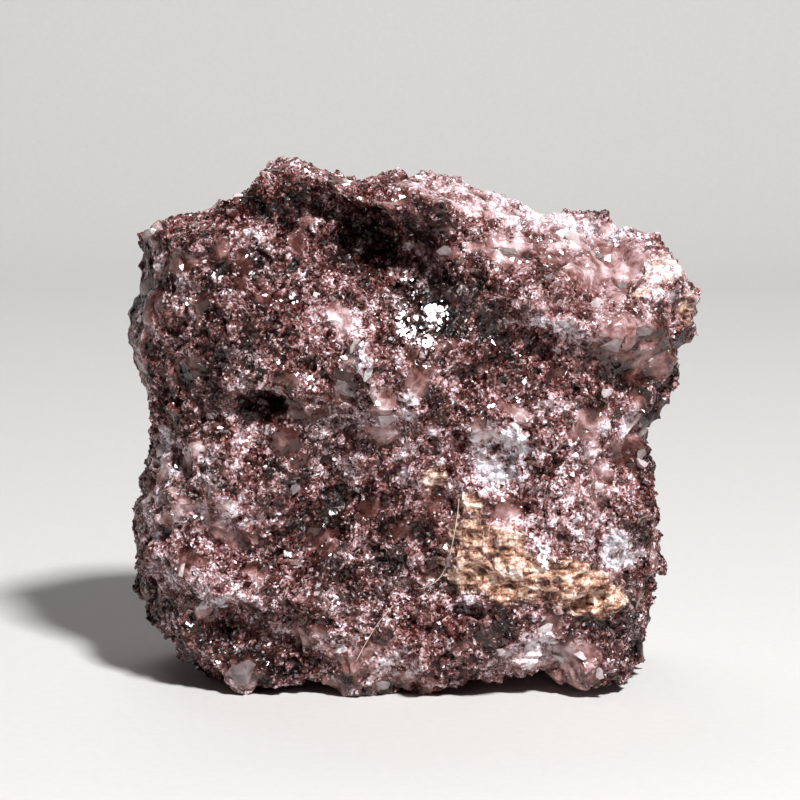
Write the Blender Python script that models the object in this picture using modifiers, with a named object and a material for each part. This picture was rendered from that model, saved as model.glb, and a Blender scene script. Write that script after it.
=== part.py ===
"""Hand specimen of massive lepidolite: one broken lump of fine lilac mica grown together with quartz.

The lump is drawn three times, from the front, the side and above. The three outlines are extruded
and the space that they share is the rough block. Flat fractures are sliced off it, deep pits are cut
into it, and its faces are then moved in and out by ledges, hollows and lumps, and roughened by the
mica grain. The underside is cut level where the stone stands. The front of the stone faces -Y.
"""

import math

import bmesh
import bpy
from mathutils import Matrix, Vector, noise

# The one driving dimension, in metres. Everything else is drawn in millimetres on a stone 62 mm wide.
WIDTH = 0.062
DRAWN_WIDTH = 62.0
MM = WIDTH / DRAWN_WIDTH

NODE_NAME = "lepidolite_specimen"
GRAIN_GRID = 0.85 * MM
TRIANGLES = 9300
PRISM_REACH = 80.0 * MM
NOISE_ORIGIN = Vector((17.3, 4.9, 31.7))

# Outline seen from the front, (x, z), clockwise from the foot of the left side.
FRONT_OUTLINE = (
    (-22.4, -0.9), (-24.8, 2.4), (-26.8, 4.4), (-29.0, 6.0), (-31.0, 8.4), (-32.4, 11.6),
    (-32.2, 14.6), (-29.8, 18.6), (-29.2, 22.4), (-28.8, 25.4), (-28.9, 28.4), (-29.9, 32.6),
    (-31.0, 37.0), (-31.5, 42.2), (-31.3, 48.2), (-28.6, 49.2), (-23.4, 49.6), (-20.2, 51.5),
    (-17.0, 53.6), (-15.0, 54.8), (-12.4, 55.9), (-9.4, 55.5), (-7.8, 53.8), (-2.6, 53.2),
    (0.6, 54.3), (4.4, 53.0), (9.4, 51.2), (13.2, 49.3), (18.6, 49.0), (22.8, 48.9),
    (25.6, 47.0), (28.0, 43.4), (31.5, 40.4), (31.4, 37.6), (28.0, 33.6), (26.4, 29.2),
    (24.6, 24.4), (24.4, 21.2), (25.8, 16.4), (26.6, 12.4), (27.0, 9.8), (26.0, 6.6),
    (25.4, 1.0), (24.6, -0.9),
)

# Outline seen from the right, (y, z), from the front of the foot up over the top and down the back.
SIDE_OUTLINE = (
    (-15.2, -0.9), (-16.8, 4.0), (-18.2, 9.6), (-17.6, 14.6), (-16.4, 22.0), (-16.0, 27.0),
    (-17.0, 31.0), (-17.2, 38.0), (-15.4, 44.0), (-13.4, 50.0), (-10.6, 54.2), (-5.0, 56.2),
    (0.0, 56.4), (4.6, 54.4), (8.2, 48.4), (12.6, 43.8), (14.2, 35.0), (17.8, 27.6),
    (19.6, 16.0), (18.2, 7.4), (16.2, 2.6), (14.0, -0.9),
)

# Outline seen from above, (x, y), anticlockwise from the left end of the front.
PLAN_OUTLINE = (
    (-29.0, -9.8), (-23.6, -15.2), (-12.0, -17.6), (2.0, -18.4), (14.0, -18.2), (22.6, -15.6),
    (27.0, -9.6), (31.4, -1.6), (28.6, 7.4), (21.6, 14.8), (8.0, 19.0), (-6.4, 19.6),
    (-18.2, 17.2), (-26.4, 11.2), (-31.6, 1.6),
)

# Flat fractures sliced off the block: a point on each, and the way it faces.
FRACTURES = {
    "pale_crown": ((20.0, -9.4, 45.6), (0.34, -0.58, 0.74)),
    "left_foot": ((-24.6, -13.0, 6.0), (-0.80, -0.46, -0.38)),
    "left_flank": ((-28.4, -10.4, 37.0), (-0.84, -0.53, 0.08)),
    "right_flank": ((26.4, -10.0, 24.0), (0.87, -0.48, -0.10)),
    "right_foot": ((24.2, -12.0, 5.0), (0.76, -0.56, -0.32)),
    "back_crown": ((6.0, 11.6, 44.0), (0.18, 0.74, 0.65)),
    "back_left": ((-21.0, 13.4, 26.0), (-0.62, 0.76, 0.18)),
    "back_right": ((22.6, 11.4, 22.0), (0.70, 0.70, -0.10)),
    "back_foot": ((-2.0, 16.8, 4.6), (-0.10, 0.80, -0.59)),
}

# Deep pits: centre (x, y, z), half sizes (along x, along y, along z), turn about y in degrees.
PITS = {
    "dark_pit": ((-16.4, -15.4, 31.7), (3.0, 3.9, 1.05), 6.0),
    "brow_cave": ((-6.4, -15.4, 48.2), (9.6, 6.8, 3.9), 25.0),
    "under_knob": ((33.8, -13.0, 30.5), (8.6, 8.0, 7.4), 0.0),
    "ochre_pit_left": ((6.2, -17.2, 9.4), (2.7, 2.8, 1.2), -4.0),
    "ochre_pit_right": ((17.4, -16.4, 10.6), (2.5, 2.8, 1.1), -24.0),
    "under_arch": ((14.6, -12.0, -0.5), (12.8, 13.0, 1.9), -2.0),
    "left_arch": ((-12.4, -14.6, -0.4), (5.6, 7.0, 1.3), 0.0),
    "back_pit": ((9.4, 18.6, 24.6), (4.2, 3.6, 2.2), 25.0),
    "back_notch": ((-12.0, 17.4, 38.4), (5.4, 5.0, 2.0), -18.0),
}

# Forms of the front: centre (x, z), half length, half width, tilt in degrees, how far it stands out.
FRONT_FORMS = {
    "brow_lip": ((-5.6, 53.0), 9.6, 1.9, -13.0, 2.2),
    "brow_hollow": ((-5.6, 47.8), 9.6, 3.4, -27.0, -2.8),
    "hollow_under_crest": ((3.4, 47.4), 4.0, 2.6, -20.0, -1.9),
    "middle_band": ((1.0, 34.6), 15.0, 4.6, -25.0, 1.5),
    "upper_left_lump": ((-20.5, 38.5), 7.5, 6.0, 10.0, 1.3),
    "upper_left_shelf": ((-23.0, 48.6), 5.4, 1.3, 8.0, 1.1),
    "shelf_shadow": ((-22.6, 46.4), 5.0, 1.0, 8.0, -0.9),
    "pit_brow": ((-16.0, 33.8), 6.0, 1.5, -6.0, 1.3),
    "left_fissure": ((-21.5, 29.4), 8.0, 1.1, 3.0, -1.4),
    "lower_left_lump": ((-20.0, 20.0), 8.0, 6.0, 0.0, 0.9),
    "lit_ledge": ((-20.6, 12.2), 9.0, 1.7, -20.0, 1.9),
    "ledge_hollow": ((-18.4, 6.8), 5.2, 2.4, -24.0, -2.5),
    "dark_valley": ((-5.2, 19.8), 7.6, 5.6, -14.0, -2.0),
    "ochre_ridge": ((11.4, 15.2), 8.6, 2.6, -27.0, 1.4),
    "base_band": ((10.0, 4.6), 11.0, 2.4, 1.0, 1.0),
    "left_base": ((-8.0, 4.0), 7.0, 3.0, 6.0, 0.7),
    "crown_edge": ((13.0, 42.2), 12.0, 2.0, -23.0, 1.8),
    "under_crown": ((12.6, 37.0), 13.0, 2.5, -16.0, -2.3),
    "right_rise": ((15.0, 27.0), 7.0, 5.0, 24.0, 0.9),
    "vertical_groove": ((16.4, 24.4), 3.8, 0.7, 84.0, -1.0),
    "left_groove": ((-7.0, 28.0), 5.0, 0.8, -16.0, -0.9),
    "quartz_grain": ((-3.7, 30.4), 1.7, 1.4, 60.0, 1.3),
    "white_wedge": ((21.4, 20.0), 1.6, 3.0, -10.0, 0.8),
}

# A wall in the front: foot (x, z), head (x, z), width of the slope, how far the right side stands out.
OCHRE_WALL = ((3.4, 10.6), (4.6, 24.0), 0.9, 1.3)
WALL_FADE = 8.0

# Forms of the back, drawn the same way.
BACK_FORMS = {
    "back_shelf": ((-6.0, 30.6), 15.0, 2.0, 14.0, 2.2),
    "back_hollow": ((-4.0, 23.0), 12.0, 4.4, 10.0, -2.4),
    "back_lump": ((14.0, 34.0), 7.0, 6.0, 30.0, 1.8),
    "back_lower_lump": ((-14.0, 12.0), 9.0, 5.6, -12.0, 1.6),
    "back_groove": ((8.0, 14.0), 10.0, 1.2, 38.0, -1.8),
    "back_top_ledge": ((-10.0, 45.0), 9.0, 1.6, -10.0, 1.6),
}
# Depth, from the middle plane, over which a form of the front or the back fades into the stone.
FORM_FADE = 9.0

# The uneven fracture: (size of the lumps, how far they stand out), coarse to fine.
ROUGHNESS = ((11.0, 0.9), (5.0, 0.45))
# Flat tilted facets that the fracture breaks into: (size, how steeply they tilt), coarse to fine.
FACETS = ((7.5, 0.62), (3.6, 0.55))
# How quickly one facet gives way to the next across their joint.
JOINT_SHARPNESS = 2.4
# The drawn outlines touch the high points of the fracture, so the rest of it lies inside them.
FRACTURE_INSET = 0.7
EDGE_LIMIT = 0.35
FACE_LIMIT = 2.6

COLOUR = (0.214, 0.102, 0.107, 1.0)


def clear_scene():
    for obj in list(bpy.data.objects):
        bpy.data.objects.remove(obj)


def collection(name, shown=True):
    made = bpy.data.collections.new(name)
    bpy.context.scene.collection.children.link(made)
    made.hide_render = not shown
    return made


def helper(obj):
    """Marks an object that only shapes the stone."""
    obj.hide_render = True
    obj.display_type = "WIRE"
    return obj


def prism(name, outline, place):
    """Extrudes an outline. place turns its two numbers and the height along the prism into a point."""
    bm = bmesh.new()
    ends = []
    for reach in (-PRISM_REACH, PRISM_REACH):
        corners = [bm.verts.new(place(a * MM, b * MM, reach)) for a, b in outline]
        ends.append(corners)
        bm.faces.new(corners)
    near, far = ends
    for i in range(len(outline)):
        j = (i + 1) % len(outline)
        bm.faces.new((near[i], near[j], far[j], far[i]))
    bmesh.ops.recalc_face_normals(bm, faces=bm.faces)
    mesh = bpy.data.meshes.new(name)
    bm.to_mesh(mesh)
    bm.free()
    return bpy.data.objects.new(name, mesh)


def boolean(obj, other, operation):
    modifier = obj.modifiers.new(f"{operation} {other.name}", "BOOLEAN")
    modifier.operation = operation
    modifier.object = other


def evaluated_mesh(obj, name):
    """The object's mesh with its modifiers applied, as new data."""
    graph = bpy.context.evaluated_depsgraph_get()
    graph.update()
    mesh = bpy.data.meshes.new_from_object(obj.evaluated_get(graph))
    mesh.name = name
    return mesh


def rough_block(cutters):
    """The space shared by the three outlines."""
    front = prism("front_outline", FRONT_OUTLINE, lambda x, z, y: (x, y, z))
    side = prism("side_outline", SIDE_OUTLINE, lambda y, z, x: (x, y, z))
    plan = prism("plan_outline", PLAN_OUTLINE, lambda x, y, z: (x, y, z))
    for obj in (front, side, plan):
        cutters.objects.link(helper(obj))
    boolean(front, side, "INTERSECT")
    boolean(front, plan, "INTERSECT")
    return front


def slice_fractures(mesh):
    """Cuts the flat fractures off a closed mesh."""
    bm = bmesh.new()
    bm.from_mesh(mesh)
    for point, facing in FRACTURES.values():
        slice_off(bm, Vector(point) * MM, Vector(facing).normalized())
    bm.to_mesh(mesh)
    bm.free()


def slice_off(bm, point, facing):
    everything = bm.verts[:] + bm.edges[:] + bm.faces[:]
    cut = bmesh.ops.bisect_plane(
        bm, geom=everything, dist=1e-7, plane_co=point, plane_no=facing, clear_outer=True
    )
    rim = [item for item in cut["geom_cut"] if isinstance(item, bmesh.types.BMEdge)]
    if rim:
        bmesh.ops.triangle_fill(bm, edges=rim, use_beauty=True, normal=facing)
        bmesh.ops.recalc_face_normals(bm, faces=bm.faces[:])


def pit_cutter(name, centre, half_sizes, turn):
    bm = bmesh.new()
    bmesh.ops.create_icosphere(bm, subdivisions=3, radius=1.0)
    shape = Matrix.Diagonal([size * MM for size in half_sizes] + [1.0])
    about_y = Matrix.Rotation(math.radians(turn), 4, "Y")
    bmesh.ops.transform(bm, matrix=Matrix.Translation(Vector(centre) * MM) @ about_y @ shape, verts=bm.verts)
    mesh = bpy.data.meshes.new(name)
    bm.to_mesh(mesh)
    bm.free()
    return helper(bpy.data.objects.new(name, mesh))


def smooth_step(value):
    value = min(1.0, max(0.0, value))
    return value * value * (3.0 - 2.0 * value)


def form_height(x, z, forms):
    """How far the forms together push a face out at (x, z), in millimetres."""
    height = 0.0
    for (cx, cz), length, width, tilt, rise in forms.values():
        turn = math.radians(tilt)
        along = ((x - cx) * math.cos(turn) + (z - cz) * math.sin(turn)) / length
        across = ((z - cz) * math.cos(turn) - (x - cx) * math.sin(turn)) / width
        distance = along * along + across * across
        if distance < 6.0:
            height += rise * math.exp(-0.8 * distance ** 1.4)
    return height


def wall_height(x, z):
    """The low wall beside the ochre patch: a step that fades to the right, above and below."""
    (x0, z0), (x1, z1), slope, rise = OCHRE_WALL
    share = (z - z0) / (z1 - z0)
    edge = x0 + (x1 - x0) * share
    ends = smooth_step(3.0 * share + 0.4) * smooth_step(3.4 - 3.0 * share)
    step = smooth_step((x - edge) / slope + 0.5)
    return rise * ends * step * math.exp(-max(0.0, x - edge) / WALL_FADE)


def facet_height(point, size, steepness):
    """A flat facet for each cell of a random packing, tilted its own way, blended over the joints."""
    distances, centres = noise.voronoi(point / size, distance_metric="DISTANCE")
    total = 0.0
    height = 0.0
    for distance, centre in zip(distances, centres):
        share = math.exp(-JOINT_SHARPNESS * size * (distance - distances[0]))
        tilt = noise.cell_vector(centre * 7.0) - Vector((0.5, 0.5, 0.5))
        height += share * steepness * tilt.dot(point - centre * size)
        total += share
    return height / total


def roughness_at(point):
    """How far the broken surface stands out at a point drawn in millimetres."""
    height = 0.0
    for number, (size, rise) in enumerate(ROUGHNESS):
        shift = NOISE_ORIGIN * (number + 1)
        height += rise * noise.noise(point / size + shift)
    for size, steepness in FACETS:
        height += facet_height(point + NOISE_ORIGIN, size, steepness)
    return height


def shape_faces(mesh):
    """Moves the front and back in and out by their forms, then every face by the roughness."""
    normals = [vertex.normal.copy() for vertex in mesh.vertices]
    for vertex, normal in zip(mesh.vertices, normals):
        drawn = vertex.co / MM
        front = smooth_step(-drawn.y / FORM_FADE)
        back = smooth_step(drawn.y / FORM_FADE)
        out = front * (form_height(drawn.x, drawn.z, FRONT_FORMS) + wall_height(drawn.x, drawn.z))
        out -= back * form_height(drawn.x, drawn.z, BACK_FORMS)
        limit = EDGE_LIMIT + (FACE_LIMIT - EDGE_LIMIT) * normal.y * normal.y
        rough = min(roughness_at(drawn) - FRACTURE_INSET, limit)
        vertex.co += (Vector((0.0, -out, 0.0)) + normal * rough) * MM


def with_modifier(mesh, name, kind, **settings):
    """The mesh after one modifier."""
    obj = helper(bpy.data.objects.new(name, mesh))
    bpy.context.scene.collection.objects.link(obj)
    modifier = obj.modifiers.new(name, kind)
    for key, value in settings.items():
        setattr(modifier, key, value)
    made = evaluated_mesh(obj, name)
    bpy.data.objects.remove(obj)
    return made


def triangle_count(mesh):
    return sum(len(face.vertices) - 2 for face in mesh.polygons)


def level_base(mesh):
    """Cuts the low points of the underside level at z = 0, where the stone stands."""
    bm = bmesh.new()
    bm.from_mesh(mesh)
    slice_off(bm, Vector((0.0, 0.0, 0.0)), Vector((0.0, 0.0, -1.0)))
    bm.to_mesh(mesh)
    bm.free()


def centre_on_base(mesh):
    """Puts the origin under the middle of the stone, on the surface that it stands on."""
    lows = Vector([min(vertex.co[axis] for vertex in mesh.vertices) for axis in range(3)])
    highs = Vector([max(vertex.co[axis] for vertex in mesh.vertices) for axis in range(3)])
    middle = (lows + highs) / 2.0
    mesh.transform(Matrix.Translation((-middle.x, -middle.y, 0.0)))


def stone_material():
    material = bpy.data.materials.new("lepidolite")
    material.use_nodes = True
    shader = material.node_tree.nodes["Principled BSDF"]
    shader.inputs["Base Color"].default_value = COLOUR
    shader.inputs["Roughness"].default_value = 0.45
    shader.inputs["Metallic"].default_value = 0.0
    return material


def build():
    clear_scene()
    shown = collection("lepidolite")
    cutters = collection("cutters", shown=False)

    block = evaluated_mesh(rough_block(cutters), "block")
    slice_fractures(block)
    stone = helper(bpy.data.objects.new("pitted_block", block))
    cutters.objects.link(stone)
    for name, (centre, half_sizes, turn) in PITS.items():
        pit = pit_cutter(name, centre, half_sizes, turn)
        cutters.objects.link(pit)
        boolean(stone, pit, "DIFFERENCE")

    mesh = evaluated_mesh(stone, "pitted")
    mesh = with_modifier(mesh, "grain", "REMESH", mode="VOXEL", voxel_size=GRAIN_GRID)
    shape_faces(mesh)
    ratio = TRIANGLES / triangle_count(mesh)
    mesh = with_modifier(mesh, "fewer", "DECIMATE", ratio=ratio)
    level_base(mesh)
    centre_on_base(mesh)

    mesh.materials.clear()
    mesh.materials.append(stone_material())
    shown.objects.link(bpy.data.objects.new(NODE_NAME, mesh))


build()
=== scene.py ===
"""The lepidolite specimen, dressed: broken rock face, mica scales, quartz grains and two lint fibres."""
import math

import bmesh
import bpy
import numpy as np
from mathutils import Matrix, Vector
from mathutils.bvhtree import BVHTree
from mathutils.kdtree import KDTree


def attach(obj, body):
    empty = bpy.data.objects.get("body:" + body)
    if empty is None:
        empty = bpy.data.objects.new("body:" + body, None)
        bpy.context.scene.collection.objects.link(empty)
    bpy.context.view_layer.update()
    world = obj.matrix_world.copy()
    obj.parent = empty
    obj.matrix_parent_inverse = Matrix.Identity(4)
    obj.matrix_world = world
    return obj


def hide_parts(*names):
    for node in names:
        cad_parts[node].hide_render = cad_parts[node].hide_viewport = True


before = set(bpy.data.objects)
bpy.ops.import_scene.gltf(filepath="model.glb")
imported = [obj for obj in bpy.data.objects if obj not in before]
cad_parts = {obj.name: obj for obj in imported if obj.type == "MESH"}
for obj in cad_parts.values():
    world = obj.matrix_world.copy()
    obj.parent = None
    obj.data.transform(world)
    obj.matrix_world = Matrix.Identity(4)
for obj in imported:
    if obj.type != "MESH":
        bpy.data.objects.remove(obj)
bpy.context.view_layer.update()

STONE = "lepidolite_specimen"
MM = 0.001
RANDOM = np.random.default_rng(20)

# The view of the photograph: lens, distance and height of the camera, and the point it looks at.
LENS_MM = 150.0
SENSOR_MM = 36.0
PHOTO_SIDE = 800
CAMERA_DISTANCE = 361.4
CAMERA_ELEVATION = 9.0
LOOK_AT = np.array((-1.39, -0.67, 29.1))
FOCAL_PX = PHOTO_SIDE * LENS_MM / SENSOR_MM
PHOTO_MIDDLE = PHOTO_SIDE / 2
TILT = math.radians(CAMERA_ELEVATION)
BACK = np.array((0.0, -math.cos(TILT), math.sin(TILT)))
RIGHT = np.array((1.0, 0.0, 0.0))
UP = np.cross(BACK, RIGHT)
CAMERA_PLACE = LOOK_AT + CAMERA_DISTANCE * BACK

# The lamps: place and side in mm, watts and any colour. The air between them gives a little light too.
KEY_PLACE = np.array((224.0, -464.0, 616.0))
LAMPS = {
    "key": (KEY_PLACE, 96, 10.2),
    "fill": ((-420, -420, 160), 400, 0.075, "#ffe6dc"),
    "back": ((-120, 330, 430), 300, 0.46),
}
AIR_COLOUR = "#a08a84"
AIR_STRENGTH = 0.028

# Where each kind of stone shows, in the photograph's pixels: centre, half sizes, strength and any tilt. The
# paler and darker patches also hold painted light and painted shade.
# Paler patches: partly the stone's own pale tone, partly painted light on the crest, crown, ledges and lips
# that face the key light.
PALER_STONE_AND_PAINTED_LIGHT = {
    "upper_left_spot": (267, 290, 18, 13, 0.16), "cloud_core": (327, 334, 10, 14, 0.22, -20),
    "middle_spot": (388, 428, 18, 12, 0.14), "centre_left": (436, 440, 15, 22, 0.18),
    "centre_spot": (468, 409, 10, 10, 0.14), "wall_crest": (546, 518, 26, 11, 0.16, 20),
    "column_foot": (592, 482, 22, 12, 0.13), "left_peak": (217, 467, 9, 12, 0.13),
    "low_middle_spot": (364, 636, 15, 12, 0.14), "valley_left": (358, 560, 10, 17, 0.12, 20),
    "crown_lens_edge": (511, 246, 12, 18, 0.15), "left_band": (298, 490, 13, 14, 0.10),
    "middle_high": (418, 404, 12, 14, 0.28), "column_left": (546, 462, 12, 20, 0.20),
    "rust_side": (457, 487, 12, 12, 0.18), "centre_low": (520, 402, 12, 22, 0.18, -30),
    "left_lower_mid": (212, 512, 20, 13, 0.16, -35), "vein_low": (360, 385, 8, 13, 0.16),
    "middle_low": (408, 466, 24, 18, 0.18), "wall_top": (500, 512, 18, 12, 0.26),
    "right_middle_low": (585, 519, 20, 12, 0.20), "crown_foot": (556, 300, 14, 20, 0.20),
    "right_shine": (664, 318, 20, 18, 0.20), "hollow_right_low": (425, 262, 20, 22, 0.14),
    "valley_spot": (362, 552, 18, 16, 0.24), "cloud_right": (386, 306, 13, 15, 0.24),
    "low_middle": (282, 600, 14, 34, 0.14, 20), "left_rim_high": (170, 448, 20, 10, 0.16),
    "left_lower_high": (245, 515, 22, 30, 0.16, 20), "left_spot": (224, 464, 10, 14, 0.18),
    "pit_lip": (262, 388, 30, 10, 0.20, 10), "crown": (590, 255, 92, 44, 0.24, -8),
    "crest": (482, 197, 84, 13, 0.30, -15), "crown_corner": (664, 272, 20, 20, 0.16),
    "crown_white": (597, 302, 10, 13, 0.25), "pink_cloud": (355, 320, 44, 21, 0.17, 4),
    "vein": (361, 358, 6, 25, 0.22, -28), "centre_right": (500, 452, 30, 24, 0.46),
    "centre_right_high": (545, 425, 26, 24, 0.12), "ochre_top": (557, 542, 20, 22, 0.26),
    "left_upper": (178, 300, 22, 34, 0.14), "middle_left": (335, 468, 22, 16, 0.28),
    "middle": (388, 440, 34, 42, 0.16), "vein_high": (345, 352, 11, 32, 0.14, -15),
    "below_crown": (572, 320, 38, 13, 0.20, -10), "right_corner": (668, 288, 14, 22, 0.22),
    "crown_top": (592, 226, 26, 12, 0.24), "crest_foot": (462, 230, 13, 20, 0.20, 20),
    "crown_left": (505, 246, 18, 10, 0.18), "base_middle": (402, 662, 18, 14, 0.36),
    "low_left": (290, 635, 26, 20, 0.12), "ledge_low": (243, 602, 18, 12, 0.16),
    "ochre_left": (473, 611, 22, 12, 0.46), "base_right_middle": (540, 662, 30, 20, 0.12),
    "lower_left_rim": (165, 515, 24, 28, 0.16), "right_column": (600, 455, 13, 30, 0.20),
    "snowflake": (495, 478, 18, 14, 0.32), "rose": (238, 437, 25, 17, 0.13),
    "left_rim": (162, 457, 13, 18, 0.24), "left_white": (203, 456, 13, 7, 0.24, -20),
    "ledge": (205, 592, 46, 20, 0.14, -30), "ledge_white": (220, 610, 12, 10, 0.24),
    "base_left": (243, 670, 18, 19, 0.18), "base_band": (540, 652, 36, 14, 0.18),
    "base_right": (585, 666, 24, 18, 0.20), "right_white": (624, 549, 19, 15, 0.65),
    "right_triangle": (605, 394, 9, 9, 0.28), "right_patch": (629, 420, 13, 24, 0.36),
    "top_lumps": (255, 234, 17, 10, 0.20), "chip_edge": (150, 268, 18, 4, 0.26, 38),
    "left_lower": (190, 530, 52, 28, 0.07), "ochre_light": (540, 585, 70, 24, 0.10, -10),
    "right_middle": (600, 480, 46, 60, 0.10), "quartz_right": (628, 340, 38, 20, 0.10),
}
# Darker patches: partly the stone's own darker tone, partly painted shade in the hollows, pits and
# undercuts, under the brow and ledges, and on faces turned away from the key light.
DARKER_STONE_AND_PAINTED_SHADE = {
    "hollow_floor": (330, 285, 15, 8, 0.14), "crown_wedge": (455, 250, 10, 10, 0.12),
    "crown_stripe": (520, 300, 22, 8, 0.12), "crown_rim": (650, 265, 14, 13, 0.14),
    "quartz_shade": (618, 336, 16, 12, 0.20), "right_side_low": (648, 465, 12, 46, 0.14),
    "base_point": (368, 688, 24, 9, 0.22), "low_right_spot": (428, 651, 10, 14, 0.12),
    "left_slope": (176, 405, 30, 34, 0.09), "crown_left_shade": (524, 272, 14, 18, 0.20),
    "left_rim_low": (174, 492, 12, 14, 0.18), "middle_low_red": (378, 466, 18, 13, 0.22),
    "cloud_left": (302, 338, 12, 13, 0.16), "right_red_spot": (572, 430, 20, 14, 0.16),
    "right_shade": (602, 414, 20, 14, 0.20), "wall_foot": (466, 588, 20, 11, 0.26),
    "ochre_spot": (514, 561, 15, 11, 0.30), "ochre_spot_high": (528, 534, 16, 11, 0.22),
    "ochre_middle": (562, 576, 14, 15, 0.24), "ochre_corner": (612, 600, 16, 11, 0.18),
    "top_slab_shade": (190, 236, 30, 10, 0.12), "top_left_brow": (264, 221, 24, 18, 0.28),
    "crown_red": (572, 280, 24, 13, 0.24), "centre_red_low": (488, 355, 24, 32, 0.18, 20),
    "middle_red": (445, 401, 11, 17, 0.30), "rose_shade": (242, 418, 24, 13, 0.14),
    "left_middle_a": (275, 488, 24, 16, 0.15, -40), "left_middle_b": (305, 520, 18, 14, 0.18),
    "left_middle_c": (255, 560, 20, 16, 0.18), "base_hollow": (270, 666, 24, 15, 0.30),
    "ochre_low": (522, 600, 24, 9, 0.26), "right_low": (600, 612, 34, 9, 0.26, -12),
    "right_base": (618, 655, 24, 30, 0.09), "right_band_high": (622, 376, 22, 15, 0.20),
    "brow_shadow": (330, 200, 48, 13, 0.10), "hollow": (362, 240, 42, 28, 0.26),
    "hollow_right": (436, 230, 27, 22, 0.22), "round_flash": (436, 308, 48, 44, 0.24),
    "right_band": (653, 432, 11, 44, 0.30, 8), "right_edge": (645, 600, 18, 90, 0.09, 3),
    "right_shoulder": (596, 392, 44, 22, 0.14, -10), "left_notch": (190, 388, 30, 22, 0.12),
    "under_wall": (440, 580, 26, 12, 0.20), "knob_side": (272, 196, 20, 26, 0.14, 30),
    "centre_red": (512, 345, 36, 20, 0.18), "right_red": (588, 343, 14, 14, 0.14),
    "smooth_patch": (344, 389, 12, 17, 0.16), "pit": (258, 407, 30, 13, 0.30, -6),
    "valley": (372, 552, 58, 46, 0.13), "left_middle": (300, 500, 60, 50, 0.07),
    "upper_left": (225, 315, 74, 60, 0.07), "gully": (430, 525, 11, 17, 0.18),
    "low_hollow": (495, 631, 21, 19, 0.22), "low_hollow_right": (590, 615, 11, 11, 0.20),
    "under_ledge": (228, 632, 34, 28, 0.22, -30), "foot_facet": (160, 630, 18, 62, 0.16, 20),
    "right_side": (680, 350, 20, 62, 0.22, 10), "right_facet": (639, 443, 12, 29, 0.14),
    "right_lower_side": (642, 625, 15, 52, 0.06), "glassy_corner": (153, 282, 18, 20, 0.14),
}
REDDER = {
    "crown_red": (562, 278, 28, 16, 0.7, -20), "centre_red_low": (488, 355, 24, 32, 0.4, 20),
    "knob": (300, 172, 32, 14, 0.5), "top_slab": (190, 230, 26, 12, 0.5),
    "crest_grains": (484, 222, 17, 13, 0.8), "low_centre": (380, 650, 95, 32, 0.35),
    "left_lump": (150, 542, 12, 11, 0.8), "centre": (510, 345, 36, 20, 0.5),
    "low_lump": (548, 611, 12, 12, 0.5), "rose": (238, 437, 25, 17, 0.3),
    "brow": (350, 190, 48, 10, 0.3),
}
GREYER = {
    "round_flash": (425, 318, 34, 46, 0.7), "flash_right": (460, 300, 28, 30, 0.5),
    "above_pit": (235, 372, 46, 22, 0.7, -10), "upper_left": (232, 262, 36, 22, 0.4),
    "middle_left": (318, 492, 36, 34, 0.5), "middle": (330, 428, 40, 16, 0.5),
    "valley": (372, 570, 58, 34, 0.6), "left_pepper": (190, 478, 30, 22, 0.6),
    "ledge_grey": (222, 606, 14, 12, 0.6), "low_hollow": (497, 633, 26, 12, 0.7),
    "crown": (560, 232, 60, 20, 0.4, -12), "right_low_band": (632, 620, 16, 56, 0.6),
    "left_edge": (146, 300, 16, 44, 0.5), "base_left": (243, 672, 20, 18, 0.7),
    "base_centre": (384, 684, 40, 9, 0.5),
}
RUSTY = {
    "spot_high": (435, 477, 12, 10, 0.9), "spot_wall": (467, 498, 10, 14, 0.8),
    "wall_low": (462, 560, 16, 30, 0.30, 10), "upper": (492, 538, 32, 24, 0.85, -20),
    "band": (540, 582, 84, 24, 0.95, -8), "band_right": (588, 588, 34, 17, 0.6, -20),
    "crown_rim": (650, 299, 19, 7, 0.6), "crown_corner": (664, 271, 19, 18, 0.5),
    "right_knob": (692, 304, 10, 16, 0.6),
}
# Rust on the sides that the photograph doesn't show: centre and reach in mm.
RUSTY_BEHIND = {
    "back_low": ((13.0, 20.0, 12.0), 8.5),
    "left_end": ((-29.0, 7.0, 33.0), 6.0),
    "right_end": ((29.0, 6.0, 41.0), 7.0),
}
GLASSY = {
    "crown_soft": (556, 250, 62, 26, 0.70, -12), "crown_right_soft": (630, 268, 32, 26, 0.65),
    "crown_foot_soft": (586, 306, 46, 13, 0.45, -8), "crest_soft": (462, 200, 60, 13, 0.45, -15),
    "base_right_soft": (545, 652, 44, 20, 0.45), "column_soft": (596, 470, 14, 34, 0.50),
    "right": (634, 350, 48, 32, 0.95, -8), "left_edge": (146, 290, 16, 32, 0.9),
    "left_flank": (140, 360, 9, 44, 0.7), "smooth_patch": (344, 389, 12, 17, 0.9),
    "top_nub": (153, 236, 13, 11, 0.9), "crown_lens": (502, 252, 18, 9, 0.9),
    "crown_wedge": (448, 251, 14, 9, 0.9), "crown_brown": (621, 287, 10, 13, 0.9),
    "right_facet": (639, 443, 11, 27, 0.9), "base_left": (243, 670, 17, 18, 0.9),
    "base_lens": (547, 629, 13, 7, 0.9), "low_hollow": (495, 631, 18, 16, 0.6),
    "base_right": (582, 664, 20, 18, 0.6), "base_centre": (392, 680, 34, 9, 0.8),
}
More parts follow.
